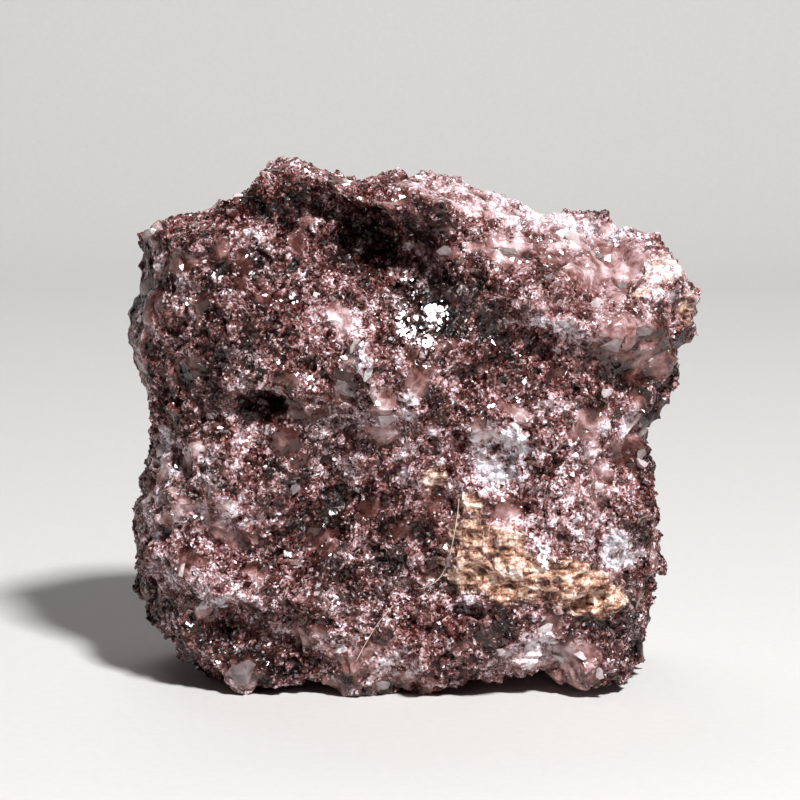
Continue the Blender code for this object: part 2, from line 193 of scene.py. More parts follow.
# Mica that flashes back the light: centre and half sizes in pixels, how thick the flakes lie, any tilt.
FLASHES = {
    "large": (421, 318, 27, 29, 0.42, -60), "large_core": (434, 311, 9, 10, 1.6),
    "large_left": (404, 332, 5, 11, 1.4, 20), "large_low": (424, 344, 5, 5, 1.4),
    "large_high": (408, 275, 8, 7, 0.6), "cloud_edge": (350, 362, 12, 12, 0.35),
    "snow": (313, 385, 9, 8, 0.5), "left_a": (291, 302, 11, 8, 0.4),
    "left_b": (332, 274, 6, 6, 0.5), "left_c": (191, 300, 7, 6, 0.4),
    "left_d": (216, 276, 7, 7, 0.5), "top_left": (252, 253, 7, 8, 0.4),
    "knob": (309, 170, 4, 4, 0.8), "brow_a": (348, 185, 4, 4, 0.8),
    "brow_b": (359, 199, 4, 4, 0.8), "brow_c": (398, 199, 6, 6, 0.8),
    "crest_a": (417, 176, 12, 4, 0.6), "hollow": (355, 218, 4, 4, 0.8),
    "crown_a": (497, 258, 4, 4, 0.8), "crown_b": (516, 261, 4, 4, 0.8),
    "square_a": (493, 407, 5, 5, 0.9), "square_b": (518, 400, 4, 4, 0.8),
    "grain_top": (376, 402, 4, 3, 0.8), "snowflake": (495, 478, 16, 13, 0.25),
    "ochre": (545, 561, 5, 11, 1.5), "base": (524, 670, 7, 5, 0.5),
    "column": (572, 452, 4, 24, 0.3), "left_e": (155, 565, 4, 4, 0.8),
    "left_f": (189, 626, 4, 4, 0.8), "left_g": (215, 664, 4, 4, 0.8),
    "middle_a": (336, 600, 5, 6, 0.8), "middle_b": (287, 553, 4, 5, 0.8),
    "middle_c": (198, 515, 7, 5, 0.5), "left_h": (172, 466, 6, 5, 0.6),
}
# How far the patches of stone stray from their drawn outlines, in pixels, and the finer straying's share.
STRAY_PX = 11.0
FINE_STRAY_SHARE = 0.5
# A drawn patch fades out up to this many half sizes from its centre, over this share of them. A patch on
# a hidden side does the same over its reach, and a noise frays it.
PATCH_END = 1.45
PATCH_FADE = 0.75
RAGGED_END = 1.1
RAGGED_FADE = 0.7
RAGGED_SHARE = 0.5
# How deep behind the front, in mm, the drawn patches give way to the hidden sides' own.
FRONT_DEPTH = 9.0

# Random patterns: the size of their lumps or grains in mm, and a number that tells one from another.
STRAY = (4.5, 31)
FINE_STRAY = (4.5 / 2.6, 32)
BROAD = (15.0, 33)
MEDIUM = (6.0, 34)
PATCH_STRAY = (1.6, 35)
PATCH = (2.7, 36)
STREAKY_STRAY = (2.0, 37)
STREAKY = (3.3, 38)
RAGGED = (2.4, 39)
BOOK = (2.2, 41)
LEAF = (0.9, 42)
RICH = (3.4, 44)
FINE_RICH = (1.3, 45)
CLEAR_RICH = (5.0, 51)
MILKY_RICH = (5.0, 52)

# The broken surface: fineness of the mesh in mm and how many triangles it keeps.
ROCK_GRID = 0.30
ROCK_TRIANGLES = 190000
# Small patches a few mm wide: how far their edges stray in mm, how much they change the tone and the
# redness, and the share of them that is glassy quartz with an edge this wide.
PATCH_EDGE_STRAY = 0.7
PATCH_TONE = 0.24
PATCH_RED = 0.6
RED_FROM = 0.6
HIDDEN_RED = 0.5
GLASSY_SHARE = 0.16
GLASSY_EDGE = 0.3
RUST_HIDES_GLASS = 0.9
# Grey stone: how much is drawn, how much lies in grains of its own, and how much less of it is pale.
DRAWN_GREY = 0.65
STREAKY_EDGE_STRAY = 0.9
STREAKY_GREY = 0.6
GREY_FROM = 0.62
PALE_TONE = 0.55
PALE_LESS_GREY = 0.7
# The stone's usual tone, from 0 for the darkest to 1, and how far the hidden sides leave it.
BASE_TONE = 0.40
HIDDEN_PALER = 0.05
HIDDEN_BROAD = 0.22
HIDDEN_MEDIUM = 0.16
MEDIUM_TONE = 0.05
# Broken grains: size in mm, how steeply they tilt, how far they step in and out, number of the pattern.
# Their outlines stray, and they sink toward their edges.
CLEAVAGE = ((3.1, 0.42, 0.10, 11), (1.5, 0.80, 0.20, 12), (0.75, 0.75, 0.12, 14))
CLEAVAGE_STRAY = 0.25
CLEAVAGE_STRAY_SIZE = 0.7
CLEAVAGE_EDGE = 0.13
CLEAVAGE_STRAY_PATTERN = 50
GLASSY_SMOOTHNESS = 0.85
ROCK_INSET = 0.14
# Relief starts this far above the ground and is whole that much higher, in mm.
FLAT_BELOW = 0.1
RELIEF_OVER = 0.6
# Painted shade in the gaps between the grains and painted light on the grains that stand out: by how much,
# and how deep a gap is in mm.
PAINTED_RELIEF_SHADING = 0.17
GAP_DEPTH = 0.30

# Mica scales: how many pieces and scales, their corners, usual size in mm, its spread and its limits.
SCALE_PIECES = 5
SCALES_A_PIECE = 18000
SCALE_CORNERS = 4
SCALE_SIZE = 0.155
SCALE_SPREAD = 0.42
SCALE_LIMITS = (0.07, 0.5)
# Scales are tried at this many times as many places. Some kinds of stone are bare, so fewer stay.
SCALE_TRIES = 2.2
BARE_GLASSY = 0.97
BARE_RUST = 1.1
BARE_POOR = 0.85
# Scales tilt together in books and leaves, and a little each by itself.
BOOK_TILT = 0.70
LEAF_TILT = 0.45
LOOSE_TILT = 0.17
OWN_TONE = 0.13
# A few scales are painted paler: pale mica specks with a painted glint.
PALE_MICA_AND_GLINT_SHARE = 0.06
PALE_MICA_AND_GLINT_TONE = 0.4
# The shape of a plate: how narrow it may be, how uneven its corners are, how far it stands out and how
# deep its root goes. The last two are a length in mm and a share of the plate's size.
NARROWEST = 0.38
CORNER_TURN = 0.42
CORNER_REACH = (0.75, 1.2)
PLATE_LIFT = (0.015, 0.08)
PLATE_ROOT = (0.12, 0.8)
# The flakes that flash: corners, usual size in mm, how many, how their sizes spread and grow where they
# lie thick, and how far they lie off the way that flashes.
FLAKE_CORNERS = 6
FLAKE_SIZE = 0.20
FLAKES_A_PIXEL = 0.24
FLAKE_SPREAD = 0.5
FLAKE_LIMITS = (0.08, 0.65)
FLAKE_GROWTH = (0.55, 0.65)
FLASH_SPREAD = 0.055
# Quartz grains: corners, usual half size in mm and its spread, unevenness, shape, tilt and how far they
# are sunk. Drawn ones stand out a little, and their depth is a share of their lesser half size.
QUARTZ_POINTS = 10
QUARTZ_SIZE = 0.42
QUARTZ_SPREAD = 0.35
QUARTZ_UNEVEN = (0.85, 1.1)
QUARTZ_SHAPE = (0.6, 1.2)
QUARTZ_TILT = 0.3
QUARTZ_SUNK = 0.35
DRAWN_DEPTH = 0.5
DRAWN_OUT = 0.20
CLEAR_COUNT = 300
MILKY_COUNT = 130
PIXEL_MM = 0.1041

# Quartz grains that can be told apart: centre and half sizes in the photograph's pixels, any turn.
CLEAR_QUARTZ = {
    "crown_lens": (502, 252, 17, 8), "crown_brown": (621, 287, 8, 13, -8),
    "crown_beige": (598, 258, 7, 10, -20), "crown_wedge": (448, 251, 12, 7, 8),
    "top_nub": (153, 237, 12, 11), "left_edge_high": (147, 285, 9, 17, -25),
    "left_edge_low": (140, 322, 5, 13), "smooth_patch": (344, 389, 12, 15, 10),
    "right_high": (640, 332, 18, 13, -15), "right_low": (612, 346, 14, 9, 20),
    "base_left": (243, 672, 15, 15), "base_centre": (380, 684, 13, 7, 8),
    "right_facet_high": (641, 432, 8, 14), "right_facet_low": (640, 456, 7, 12),
}
MILKY_QUARTZ = {
    "grain": (384, 419, 15, 14, 25), "right_triangle": (605, 394, 8, 8, 30),
    "crown_white": (597, 303, 8, 11), "base_lens": (547, 629, 12, 6, 5),
    "base_pale_left": (580, 662, 8, 16, 10), "base_pale_right": (597, 673, 7, 11, 15),
    "base_right_block": (556, 655, 11, 9), "vein_high": (355, 346, 5, 10, -30),
    "vein_low": (368, 372, 5, 11, -25), "left_rim": (163, 452, 8, 10),
    "ledge_block": (184, 571, 6, 8, -20), "crown_top": (571, 238, 12, 10, -30),
}

# Two lint fibres, drawn in the photograph's pixels. They lie just off the stone, thickness in mm.
LINT = {
    "lint_fibre_left": ((356, 662), (364, 646), (374, 629), (385, 614), (396, 603)),
    "lint_fibre_right": (
        (459, 499), (458, 514), (455, 530), (451, 553), (445, 575), (434, 586), (415, 591),
    ),
}
LINT_THICKNESS = 0.085
LINT_SIDES = 6
LINT_STEP = 0.25
LINT_SMOOTHING = 12
LINT_OFF_STONE = np.array((0.0, -0.35, 0.12))
LINT_ASIDE = (0.3, -1.0, 0.2)

# The map of the rock: six flat views in a square, in mm. Each has the way it faces, the two axes that
# it shows, its corner in the square and its scale.
FLAT_SIDE = 152.0
FLAT_GAP = 0.8
FLAT_VIEWS = (
    ((0, -1, 0), (0, 2), (0, 0), 1.0),
    ((0, 1, 0), (0, 2), (64.5, 0), 1.0),
    ((-1, 0, 0), (1, 2), (0, 58), 1.0),
    ((1, 0, 0), (1, 2), (43.5, 58), 1.0),
    ((0, 0, 1), (0, 1), (87, 58), 1.0),
    ((0, 0, -1), (0, 1), (0, 116), 0.75),
)
# Before a view is chosen, ledges and grains are evened out over this many mm, at one corner in so many.
EVENED_OVER = 6.0
EVENED_STEP = 14
# The map of a plate, as shares of its square: how far its face and the points of its sides reach.
STAR_FACE = 0.30
STAR_TIP = 0.47

# The card that the stone stands on, in mm: how far the floor reaches, where it bends up and how high.
FLOOR_REACH = 2000
BEND_START = 340
BEND_RADIUS = 140
BEND_STEPS = 12
CARD_TOP = 900

# Random numbers of a cell: what mixes its whole numbers, the largest result, and what parts a grain's own
# numbers from its place. FAR is beyond any grain.
CELL_FACTORS = (73856093, 19349663, 83492791)
TURN_FACTOR = 668265263
MIX_STEPS = ((16, 0x85EBCA6B), (13, 0xC2B2AE35))
LARGEST = 4294967295.0
GRAIN_NUMBERS = 500
FAR = 9.0


def linear(hex_colour):
    """An sRGB hex colour as linear RGBA."""
    parts = [int(hex_colour[i : i + 2], 16) / 255 for i in (1, 3, 5)]
    return [c / 12.92 if c <= 0.04045 else ((c + 0.055) / 1.055) ** 2.4 for c in parts] + [1.0]


def lattice_random(cells, salt):
    """Three random numbers from 0 to 1 for each whole-number cell."""
    cells = cells.astype(np.int64)
    one, two, three = (cells[:, axis] * factor for axis, factor in enumerate(CELL_FACTORS))
    mixed = one ^ two ^ three
    numbers = []
    for turn in range(3):
        h = (mixed + (salt * 3 + turn) * TURN_FACTOR).astype(np.uint32)
        for shift, factor in MIX_STEPS:
            h = (h ^ (h >> np.uint32(shift))) * np.uint32(factor)
        numbers.append((h ^ (h >> np.uint32(16))) / LARGEST)
    return np.stack(numbers, 1)


def nearest_grain(points, size, salt):
    """For each point the middle of its grain, the gap to the next grain and the grain's numbers."""
    at = points / size
    home = np.floor(at)
    best = np.full(len(at), FAR)
    second = np.full(len(at), FAR)
    middle = np.zeros_like(at)
    cell = np.zeros_like(at)
    for offset in np.ndindex(3, 3, 3):
        other = home + np.array(offset) - 1
        centre = other + lattice_random(other, salt)
        distance = np.linalg.norm(at - centre, axis=1)
        nearer = distance < best
        second = np.where(nearer, best, np.minimum(second, distance))
        best = np.where(nearer, distance, best)
        middle[nearer] = centre[nearer]
        cell[nearer] = other[nearer]
    return middle * size, (second - best) * size, lattice_random(cell, salt + GRAIN_NUMBERS)


def soft_noise(points, size, salt):
    """Three smooth noises from -1 to 1, in lumps of this size."""
    at = points / size
    home = np.floor(at)
    part = at - home
    part = part * part * (3 - 2 * part)
    total = np.zeros_like(at)
    for offset in np.ndindex(2, 2, 2):
        weight = np.prod(np.where(offset, part, 1 - part), axis=1)
        total += weight[:, None] * lattice_random(home + np.array(offset), salt)
    return total * 2 - 1


def smooth_step(value):
    value = np.clip(value, 0, 1)
    return value * value * (3 - 2 * value)


def in_photo(points):
    """Where points in millimetres appear in the photograph, in pixels."""
    ray = points - CAMERA_PLACE
    depth = ray @ -BACK
    across, above = FOCAL_PX * (ray @ RIGHT) / depth, FOCAL_PX * (ray @ UP) / depth
    return np.stack((PHOTO_MIDDLE + across, PHOTO_MIDDLE - above), 1)


def drawn_amount(places, patches):
    """How strongly the drawn patches cover places in the photograph, added up."""
    total = np.zeros(len(places))
    for u, v, wide, high, strength, *tilt in patches.values():
        turn = math.radians(-sum(tilt))
        across, down = places[:, 0] - u, places[:, 1] - v
        along = (across * math.cos(turn) + down * math.sin(turn)) / wide
        aside = (down * math.cos(turn) - across * math.sin(turn)) / high
        total += strength * smooth_step((PATCH_END - np.hypot(along, aside)) / PATCH_FADE)
    return total


def spread_amount(points, patches, ragged):
    """How strongly ragged patches, given in millimetres, cover the points."""
    total = np.zeros(len(points))
    for centre, reach in patches.values():
        far = np.linalg.norm(points - np.array(centre), axis=1) / reach
        total = np.maximum(total, smooth_step((RAGGED_END - far + RAGGED_SHARE * ragged) / RAGGED_FADE))
    return total


def stone_kinds(points):
    """What the stone is at each point, in millimetres: tone (on the front with painted light and painted
    shade), redness, greyness, rust and glassiness.
    """
    stray = soft_noise(points, *STRAY)[:, :2]
    fine_stray = soft_noise(points, *FINE_STRAY)[:, :2]
    strayed = in_photo(points) + STRAY_PX * (stray + FINE_STRAY_SHARE * fine_stray)
    front = smooth_step((FRONT_DEPTH - points[:, 1]) / FRONT_DEPTH)
    broad = soft_noise(points, *BROAD)
    medium = soft_noise(points, *MEDIUM)
    _, gap, patch = nearest_grain(points + PATCH_EDGE_STRAY * soft_noise(points, *PATCH_STRAY), *PATCH)

    hidden_tone = HIDDEN_PALER + HIDDEN_BROAD * broad[:, 0] + HIDDEN_MEDIUM * medium[:, 0]
    # The drawn tone is the stone's own tone together with painted light and painted shade.
    drawn_tone_with_painted_shading = drawn_amount(strayed, PALER_STONE_AND_PAINTED_LIGHT) - drawn_amount(strayed, DARKER_STONE_AND_PAINTED_SHADE)
    tone = BASE_TONE + front * drawn_tone_with_painted_shading + (1 - front) * hidden_tone + MEDIUM_TONE * medium[:, 2]
    tone += PATCH_TONE * (patch[:, 0] - 0.5)

    red = front * drawn_amount(strayed, REDDER) + (1 - front) * HIDDEN_RED * smooth_step(broad[:, 1] * 2)
    red += PATCH_RED * (patch[:, 1] - RED_FROM)
    stray = STREAKY_EDGE_STRAY * soft_noise(points, *STREAKY_STRAY)
    _, _, streaky = nearest_grain(points + stray, *STREAKY)
    grey = DRAWN_GREY * front * drawn_amount(strayed, GREYER) + STREAKY_GREY * (streaky[:, 0] - GREY_FROM)
    grey *= 1 - PALE_LESS_GREY * smooth_step((tone - PALE_TONE) * 4)

    ragged = medium[:, 1] + soft_noise(points, *RAGGED)[:, 0]
    rust = front * drawn_amount(strayed, RUSTY) + (1 - front) * spread_amount(points, RUSTY_BEHIND, ragged)
    glassy = front * drawn_amount(strayed, GLASSY)
    glassy = np.maximum(glassy, (patch[:, 2] < GLASSY_SHARE) * smooth_step(gap / GLASSY_EDGE))
    glassy = glassy * (1 - RUST_HIDES_GLASS * smooth_step(rust * 2))
    kinds = {"tone": tone}
    for name, amount in (("red", red), ("grey", grey), ("rust", rust), ("glassy", glassy)):
        kinds[name] = np.clip(amount, 0, 1)
    return kinds


def cleavage_height(points, glassy):
    """How far the broken grains stand out at each point. Glassy quartz breaks smoothly."""
    height = np.full(len(points), -ROCK_INSET)
    for number, (size, steepness, step, salt) in enumerate(CLEAVAGE):
        stray = soft_noise(points, CLEAVAGE_STRAY_SIZE * size, salt + CLEAVAGE_STRAY_PATTERN)
        strayed = points + CLEAVAGE_STRAY * size * stray
        middle, gap, numbers = nearest_grain(strayed, size, salt)
        slope = np.sum((numbers - 0.5) * (points - middle), axis=1)
        plane = steepness * slope + step * (numbers[:, 0] + numbers[:, 1] - 1.0)
        kept = 1.0 - GLASSY_SMOOTHNESS * glassy if number else 1.0
        height += kept * plane * smooth_step(gap / (CLEAVAGE_EDGE * size))
    return height


def placed(name, data):
    made = bpy.data.objects.new(name, data)
    bpy.context.scene.collection.objects.link(made)
    return made


def mesh_piece(name, mesh, material):
    piece = placed(name, mesh)
    mesh.materials.clear()
    mesh.materials.append(material)
    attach(piece, "root")
    return piece


def mesh_from(bm, name):
    mesh = bpy.data.meshes.new(name)
    bm.to_mesh(mesh)
    bm.free()
    return mesh


def vertex_numbers(mesh, kinds):
    for name, values in kinds.items():
        layer = mesh.attributes.new(name, "FLOAT", "POINT")
        layer.data.foreach_set("value", np.ascontiguousarray(values, np.float32))


def read(source, what, width=3, kind=np.float32):
    """What Blender keeps for each element of a mesh, this many numbers to a row."""
    values = np.empty(len(source) * width, kind)
    source.foreach_get(what, values)
    return values.reshape(-1, width)


def points_of(mesh):
    """The corners of a mesh in millimetres."""
    return read(mesh.vertices, "co").astype(float) / MM


def normals_of(mesh):
    return read(mesh.vertex_normals, "vector").astype(float)


def keep_map(mesh, places):
    """Gives a mesh the map that its pattern is kept on as a picture."""
    layer = mesh.uv_layers.new(name="OFBake")
    layer.data.foreach_set("uv", places.astype(np.float32).ravel())


def meshed(mesh, kind, **settings):
    """The mesh after one modifier."""
    helper = placed("helper", mesh)
    modifier = helper.modifiers.new(kind, kind)
    for name, value in settings.items():
        setattr(modifier, name, value)
    graph = bpy.context.evaluated_depsgraph_get()
    made = bpy.data.meshes.new_from_object(helper.evaluated_get(graph))
    bpy.data.objects.remove(helper)
    return made


def broad_facing(points):
    """The way the stone faces around each point, once its ledges and grains are evened out."""
    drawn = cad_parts[STONE].data
    corners, normals = points_of(drawn), normals_of(drawn)
    chosen = corners[::EVENED_STEP]
    tree = KDTree(len(chosen))
    evened = []
    for number, corner in enumerate(chosen):
        tree.insert(corner, number)
        near = np.exp(-np.sum((corners - corner) ** 2, axis=1) / EVENED_OVER ** 2)
        evened.append(near @ normals)
    tree.balance()
    return np.array(evened)[[tree.find(point)[1] for point in points]]


def lay_flat(mesh):
    """Gives the rock a map of six flat views."""
    corners = read(mesh.loops, "vertex_index", 1, np.int32).reshape(-1, 3)
    points = points_of(mesh)
    lows = points.min(axis=0)
    facing = broad_facing(points[corners].mean(axis=1))
    view = np.argmax(facing @ np.array([turned for turned, *_ in FLAT_VIEWS]).T, axis=1)
    places = np.zeros((len(corners), 3, 2))
    for number, (_, axes, corner, scale) in enumerate(FLAT_VIEWS):
        shown = view == number
        moved = (points - lows)[corners[shown]][:, :, axes]
        places[shown] = (np.array(corner) + FLAT_GAP + scale * moved) / FLAT_SIDE
    keep_map(mesh, places)


def one_surface(mesh):
    """Keeps the one closed surface. Thinning the mesh leaves a few folded faces and loose crumbs."""
    bm = bmesh.new()
    bm.from_mesh(mesh)
    folded = [face for face in bm.faces if any(edge.is_boundary for edge in face.edges)]
    bmesh.ops.delete(bm, geom=folded, context="FACES")
    left = set(bm.verts)
    islands = []
    while left:
        reached = [left.pop()]
        for corner in reached:
            near = {edge.other_vert(corner) for edge in corner.link_edges} & left
            left -= near
            reached.extend(near)
        islands.append(reached)
    stone = set(max(islands, key=len))
    crumbs = [corner for corner in bm.verts if corner not in stone]
    bmesh.ops.delete(bm, geom=crumbs, context="VERTS")
    bm.to_mesh(mesh)
    bm.free()


def broken_rock(material):
    """The whole stone, finely meshed, with each grain broken along its own plane."""
    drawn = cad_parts[STONE].data.copy()
    mesh = meshed(drawn, "REMESH", mode="VOXEL", voxel_size=ROCK_GRID * MM)
    points, normals = points_of(mesh), normals_of(mesh)
    standing = smooth_step((points[:, 2] - FLAT_BELOW) / RELIEF_OVER)
    rise = cleavage_height(points, stone_kinds(points)["glassy"]) * standing
    points += normals * rise[:, None]
    points[:, 2] = np.maximum(points[:, 2], 0.0)
    mesh.vertices.foreach_set("co", (points * MM).astype(np.float32).ravel())
    vertex_numbers(mesh, {"rise": rise + ROCK_INSET})
    mesh = meshed(mesh, "DECIMATE", ratio=ROCK_TRIANGLES / (2 * len(mesh.polygons)))
    mesh = meshed(mesh, "TRIANGULATE")
    one_surface(mesh)
    mesh.name = "broken_rock"
    kinds = stone_kinds(points_of(mesh))
    rise = read(mesh.attributes["rise"].data, "value", 1)[:, 0]
    # Painted shade in the gaps between grains, painted light on the grains that stand out.
    kinds["tone"] += PAINTED_RELIEF_SHADING * np.clip(rise / GAP_DEPTH, -1, 1)
    vertex_numbers(mesh, kinds)
    lay_flat(mesh)
    mesh.shade_flat()
    mesh.update()
    piece = mesh_piece("broken_rock", mesh, material)
    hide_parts(STONE)
    return piece


def scattered_on(mesh, count):
    """Random places on a mesh: points and facing, in millimetres."""
    mesh.calc_loop_triangles()
    corners = read(mesh.loop_triangles, "vertices", 3, np.int32)
    points = points_of(mesh)
    a, b, c = (points[corners[:, i]] for i in range(3))
    normals = np.cross(b - a, c - a)
    area = np.linalg.norm(normals, axis=1)
    chosen = RANDOM.choice(len(area), count, p=area / area.sum())
    s, t = RANDOM.random(count), RANDOM.random(count)
    over = s + t > 1
    s[over], t[over] = 1 - s[over], 1 - t[over]
    places = a[chosen] + s[:, None] * (b - a)[chosen] + t[:, None] * (c - a)[chosen]
    return places, unit(normals_of(mesh)[corners[chosen]].sum(axis=1))


def unit(vectors):
    return vectors / np.linalg.norm(vectors, axis=-1, keepdims=True)


def flash_facing(points):
    """The way a scale must face to send the key light to the camera."""
    return unit(unit(KEY_PLACE - points) + unit(CAMERA_PLACE - points))


def plates(name, places, rooted, tilted, size, corners):
    """Many small closed plates as one mesh. Each has a flat broken face and a root inside the rock."""
    count = len(places)
    aside = unit(np.cross(tilted, RANDOM.normal(0, 1, (count, 3))))
    across = np.cross(tilted, aside)
    longer = RANDOM.uniform(NARROWEST, 1.0, count)
    turn = np.arange(corners) * 2 * math.pi / corners
    turn = turn + RANDOM.uniform(-CORNER_TURN, CORNER_TURN, (count, corners))
    reach = size[:, None] * RANDOM.uniform(*CORNER_REACH, (count, corners))
    lift = PLATE_LIFT[0] + PLATE_LIFT[1] * size
    rim = (
        places[:, None]
        + (reach * np.cos(turn))[..., None] * aside[:, None]
        + (reach * np.sin(turn) * longer[:, None])[..., None] * across[:, None]
        + (lift[:, None] * rooted)[:, None]
    )
    root = places - rooted * (PLATE_ROOT[0] + PLATE_ROOT[1] * size)[:, None]
    points = np.concatenate((rim, root[:, None]), 1).reshape(-1, 3)
    points[:, 2] = np.maximum(points[:, 2], 0.02)
    base = np.arange(count)[:, None] * (corners + 1)
    ring = np.arange(corners)
    tops = base + ring
    sides = np.stack((tops[:, (ring + 1) % corners], tops, np.repeat(base + corners, corners, 1)), 2)
    mesh = bpy.data.meshes.new(name)
    mesh.from_pydata((points * MM).tolist(), [], tops.tolist() + sides.reshape(-1, 3).tolist())

    # Each plate gets its own square of the map: its face in the middle, its sides as the points of a star.
    row = math.ceil(math.sqrt(count))
    middle = np.stack((np.arange(count) % row, np.arange(count) // row), 1)[:, None] + 0.5
    angle = (ring + 0.5) * 2 * math.pi / corners
    face = middle + STAR_FACE * np.stack((np.cos(angle), np.sin(angle)), 1)
    angle = (ring + 1) * 2 * math.pi / corners
    tip = middle + STAR_TIP * np.stack((np.cos(angle), np.sin(angle)), 1)
    star = np.stack((face[:, (ring + 1) % corners], face, tip), 2)
    keep_map(mesh, np.concatenate((face.reshape(-1, 2), star.reshape(-1, 2))) / row)
    return mesh


def plate_numbers(mesh, corners, kinds):
    """Gives every corner of a plate the plate's own numbers."""
    vertex_numbers(mesh, {name: np.repeat(values, corners + 1) for name, values in kinds.items()})
    mesh.update()


def mica_scales(number, rock, material):
    """One piece of many mica scales, thick where the stone is rich in mica and few on quartz and rust."""
    places, facing = scattered_on(rock.data, int(SCALES_A_PIECE * SCALE_TRIES))
    kinds = stone_kinds(places)
    rich = soft_noise(places, *RICH)[:, 0] + 0.6 * soft_noise(places, *FINE_RICH)[:, 0]
    bare = BARE_GLASSY * kinds["glassy"] + BARE_RUST * kinds["rust"]
    bare += BARE_POOR * smooth_step(0.45 - 2.0 * rich)
    bare += places[:, 2] < 0.5
    kept = np.flatnonzero(RANDOM.random(len(places)) > bare)[:SCALES_A_PIECE]
    places, facing = places[kept], facing[kept]
    kinds = {name: values[kept] for name, values in kinds.items()}
    count = len(places)

    _, _, book = nearest_grain(places, *BOOK)
    _, _, leaf = nearest_grain(places, *LEAF)
    loose = RANDOM.normal(0, LOOSE_TILT, (count, 3))
    tilted = unit(facing + BOOK_TILT * (book - 0.5) + LEAF_TILT * (leaf - 0.5) + loose)
    size = np.exp(RANDOM.normal(math.log(SCALE_SIZE), SCALE_SPREAD, count)).clip(*SCALE_LIMITS)
    name = f"mica_scales_{number}"
    mesh = plates(name, places, facing, tilted, size, SCALE_CORNERS)
    # Each scale's own random tone, and a painted glint on a few.
    own = RANDOM.normal(0, OWN_TONE, count) + (RANDOM.random(count) < PALE_MICA_AND_GLINT_SHARE) * PALE_MICA_AND_GLINT_TONE
    shades = {name: kinds[name] for name in ("red", "grey", "rust")}
    shades["tone"] = kinds["tone"] + own
    shades["leaf"] = RANDOM.random(count)
    plate_numbers(mesh, SCALE_CORNERS, shades)
    return mesh_piece(name, mesh, material)


def spot_on_stone(tree, u, v):
    """The point of the stone, in millimetres, that the photograph shows at a pixel, and its facing."""
    ray = -BACK + RIGHT * (u - PHOTO_MIDDLE) / FOCAL_PX + UP * (PHOTO_MIDDLE - v) / FOCAL_PX
    spot, facing, _, _ = tree.ray_cast(Vector(CAMERA_PLACE * MM), Vector(ray).normalized())
    if spot is None:
        return None, None
    return np.array(spot) / MM, np.array(facing)


def flash_flakes(tree, material):
    """Larger mica flakes whose faces lie the way that sends the key light to the camera."""
    places, facings, sizes = [], [], []
    for u, v, wide, high, share, *tilt in FLASHES.values():
        turn = math.radians(-sum(tilt))
        flakes = max(2, round(share * wide * high * FLAKES_A_PIXEL))
        for _ in range(flakes):
            angle, far = RANDOM.uniform(0, 2 * math.pi), math.sqrt(RANDOM.random())
            along, aside = far * wide * math.cos(angle), far * high * math.sin(angle)
            spot, facing = spot_on_stone(
                tree,
                u + along * math.cos(turn) - aside * math.sin(turn),
                v + along * math.sin(turn) + aside * math.cos(turn),
            )
            if spot is not None:
                places.append(spot)
                facings.append(facing)
                sizes.append(FLAKE_SIZE * (FLAKE_GROWTH[0] + FLAKE_GROWTH[1] * share))
    places, facings = np.array(places), np.array(facings)
    count = len(places)
    toward = unit(flash_facing(places) + RANDOM.normal(0, FLASH_SPREAD, (count, 3)))
    size = (np.array(sizes) * np.exp(RANDOM.normal(0, FLAKE_SPREAD, count))).clip(*FLAKE_LIMITS)
    rooted = unit(facings + toward)
    mesh = plates("flash_flakes", places, rooted, toward, size, FLAKE_CORNERS)
    shades = {"tone": RANDOM.uniform(0.6, 1.0, count), "grey": np.full(count, 0.8)}
    shades["leaf"] = RANDOM.uniform(0, 0.4, count)
    plate_numbers(mesh, FLAKE_CORNERS, shades)
    return mesh_piece("flash_flakes", mesh, material)


def grain_hull(bm, centre, along, outward, half_sizes):
    """Adds one broken crystal: the convex hull of random points on an egg of these half sizes."""
    axes = np.stack((along, np.cross(outward, along), outward))
    around = unit(RANDOM.normal(0, 1, (QUARTZ_POINTS, 3)))
    around *= RANDOM.uniform(*QUARTZ_UNEVEN, (QUARTZ_POINTS, 1))
    corners = centre + (around * half_sizes) @ axes
    corners[:, 2] = np.maximum(corners[:, 2], 0.03)
    made = [bm.verts.new(corner * MM) for corner in corners]
    hull = bmesh.ops.convex_hull(bm, input=made)
    spare = hull["geom_interior"] + hull["geom_unused"]
    spare = {item for item in spare if isinstance(item, bmesh.types.BMVert)}
    bmesh.ops.delete(bm, geom=list(spare), context="VERTS")


def drawn_quartz(bm, tree, grains):
    """Adds the quartz grains that the photograph shows one by one."""
    for u, v, wide, high, *tilt in grains.values():
        spot, facing = spot_on_stone(tree, u, v)
        if spot is None:
            continue
        turn = math.radians(sum(tilt))
        along = RIGHT * math.cos(turn) + UP * math.sin(turn)
        outward = unit(facing - (facing @ along) * along)
        half_sizes = np.array((wide, high, DRAWN_DEPTH * min(wide, high))) * PIXEL_MM
        grain_hull(bm, spot + outward * DRAWN_OUT * half_sizes[2], along, outward, half_sizes)


def scattered_quartz(bm, rock, count, pattern):
    """Adds small quartz grains all over the stone."""
    places, facing = scattered_on(rock.data, count * 3)
    rich = soft_noise(places, *pattern)[:, 0]
    kept = np.flatnonzero((rich > 0.05) & (places[:, 2] > 1.0))[:count]
    for place, out in zip(places[kept], facing[kept]):
        along = unit(np.cross(out, RANDOM.normal(0, 1, 3)))
        outward = unit(out + QUARTZ_TILT * RANDOM.normal(0, 1, 3))
        along = unit(along - (along @ outward) * outward)
        size = math.exp(RANDOM.normal(math.log(QUARTZ_SIZE), QUARTZ_SPREAD))
        half_sizes = size * RANDOM.uniform(*QUARTZ_SHAPE, 3)
        grain_hull(bm, place - outward * QUARTZ_SUNK * half_sizes[2], along, outward, half_sizes)


def quartz_grains(name, tree, rock, grains, count, pattern, material):
    """One piece with all the quartz grains of one kind."""
    bm = bmesh.new()
    drawn_quartz(bm, tree, grains)
    scattered_quartz(bm, rock, count, pattern)
    return mesh_piece(name, mesh_from(bm, name), material)


